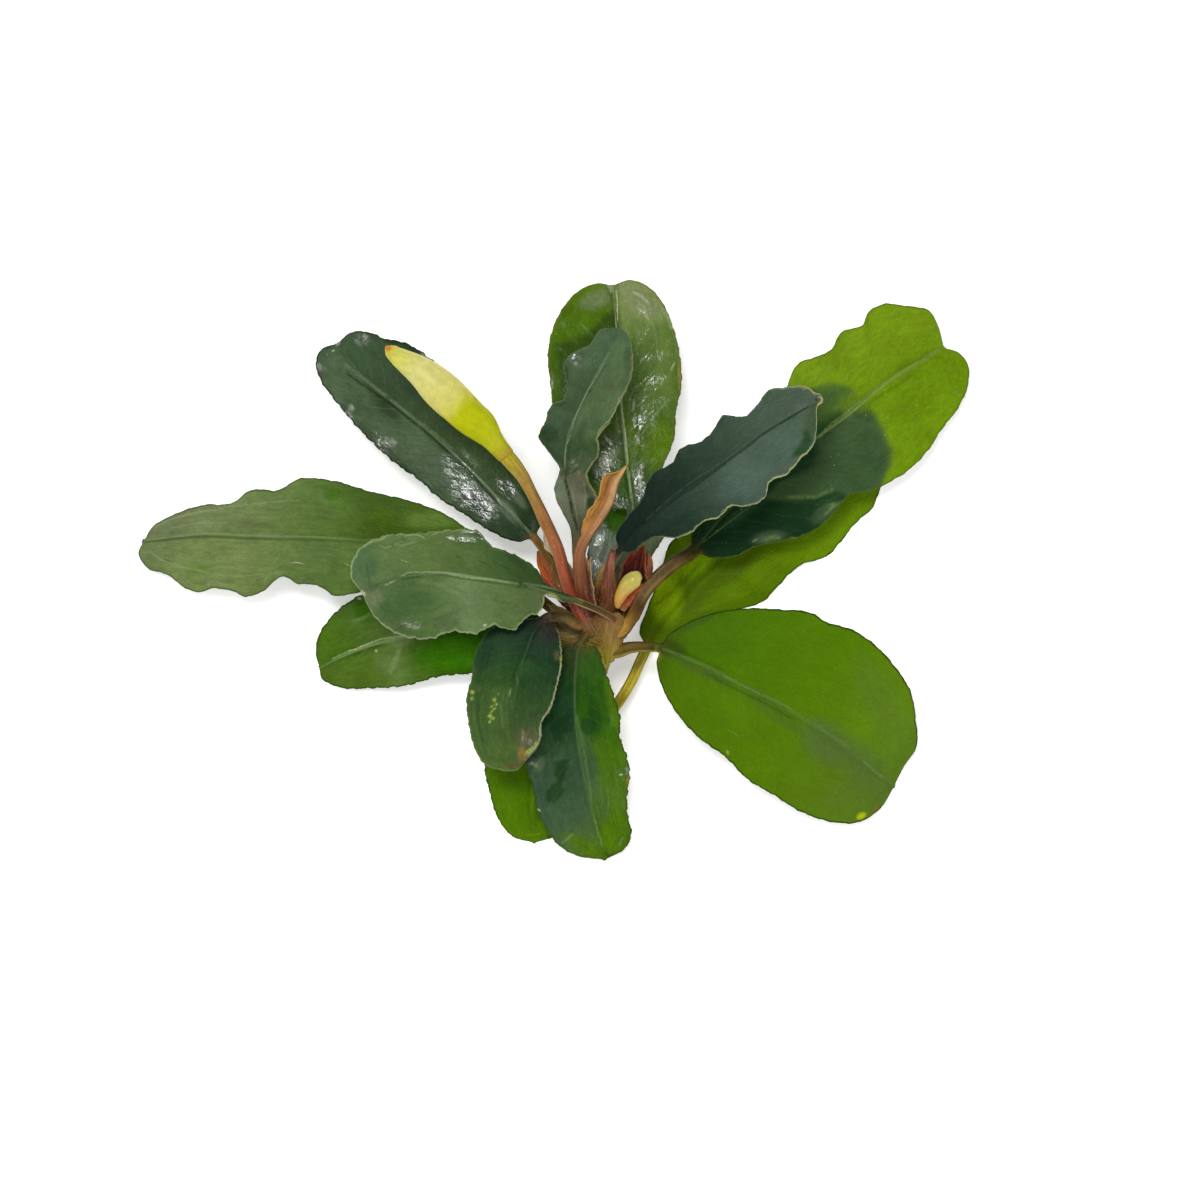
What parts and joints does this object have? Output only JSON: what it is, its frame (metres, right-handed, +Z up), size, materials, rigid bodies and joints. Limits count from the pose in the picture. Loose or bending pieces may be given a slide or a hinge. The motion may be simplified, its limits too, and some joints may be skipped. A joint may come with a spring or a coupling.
{
  "type": "bucephalandra plant",
  "caption": "Loose round wavy bucephalandra, an aquarium plant with undulating leaves, a short rhizome and a closed cream spathe, lying on its older leaves.",
  "frame": {"origin": "on the surface that the plant lies on, under the middle of the plant's box", "axes": "+Z up from that surface, +X to the plant's right and +Y to its top as seen from above"},
  "size_m": [0.1324, 0.0927, 0.0286],
  "materials": {
    "rhizome": "fleshy, ringed with leaf scars, yellow-brown",
    "grey_green_leaf": "leathery leaf, satin, grey-green",
    "dark_green_leaf": "leathery leaf, glossy and damp, dark green",
    "blue_green_leaf": "leathery leaf, satin, dark blue-green",
    "light_green_leaf": "leathery leaf, damp, light green",
    "bright_green_leaf": "leathery leaf, light shining through, bright yellow-green",
    "young_leaf": "young rolled leaf, orange-brown",
    "flower_stalk": "smooth fleshy stalk, olive turning red-brown at its base",
    "flower_bud": "soft closed spathe, cream turning yellow-green at its base",
    "orange_scale": "thin scale leaf, orange-red",
    "pale_scale": "papery scale, whitish",
    "maroon_scale": "thick scale leaf, glossy maroon",
    "young_bud": "smooth fleshy bud, pale yellow-green"
  },
  "bodies": {
    "root": {"rhizome": "rhizome", "leaf_far_left": "grey_green_leaf", "leaf_near_left": "grey_green_leaf", "leaf_lower_left": "bright_green_leaf", "leaf_front_left": "dark_green_leaf", "leaf_front": "dark_green_leaf", "leaf_under_front": "bright_green_leaf", "leaf_round_right": "bright_green_leaf", "leaf_back_right": "bright_green_leaf", "leaf_long_right": "bright_green_leaf", "leaf_dark_right": "blue_green_leaf", "leaf_top_round": "light_green_leaf", "leaf_top_wavy": "grey_green_leaf", "leaf_upper_left": "dark_green_leaf", "leaf_hidden_back": "grey_green_leaf", "new_leaf": "young_leaf", "flower_stalk": "flower_stalk", "flower_bud": "flower_bud", "sheath_left": "orange_scale", "sheath_pale": "pale_scale", "sheath_maroon": "maroon_scale", "young_bud": "young_bud"}
  },
  "joints": []
}
